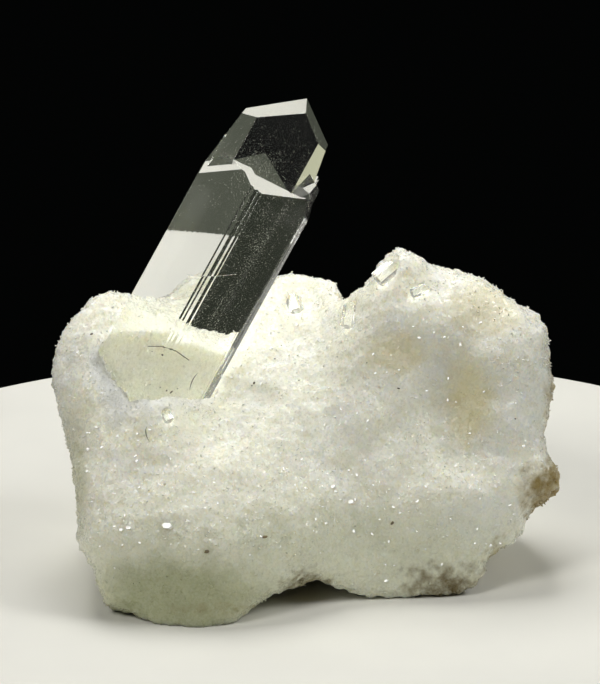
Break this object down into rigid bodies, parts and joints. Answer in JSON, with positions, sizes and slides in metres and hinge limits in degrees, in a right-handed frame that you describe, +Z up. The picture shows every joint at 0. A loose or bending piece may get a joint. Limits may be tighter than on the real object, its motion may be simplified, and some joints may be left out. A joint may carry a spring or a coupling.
{
  "type": "gypsum crystal",
  "caption": "Clear gypsum prism with a gabled tip and a stepped mantle, leaning out of a lump of white sugary gypsum cut flat underneath to stand.",
  "frame": {"origin": "on the floor under the middle of the piece, on the flat base", "axes": "+Z up, -Y out of the face that carries the crystal, +X to the right of someone facing it; the crystal leans towards +X and back towards +Y"},
  "size_m": [0.076, 0.0512, 0.0689],
  "materials": {
    "white_gypsum": "sugary, translucent white",
    "clear_gypsum": "clear, glassy, finely striated"
  },
  "bodies": {
    "root": {"matrix": "white_gypsum", "selenite_crystal": "clear_gypsum", "crest_crystal": "clear_gypsum", "notch_crystal": "clear_gypsum", "lobe_crystal": "clear_gypsum", "saddle_crystal": "clear_gypsum", "foot_crystal": "clear_gypsum"}
  },
  "joints": []
}
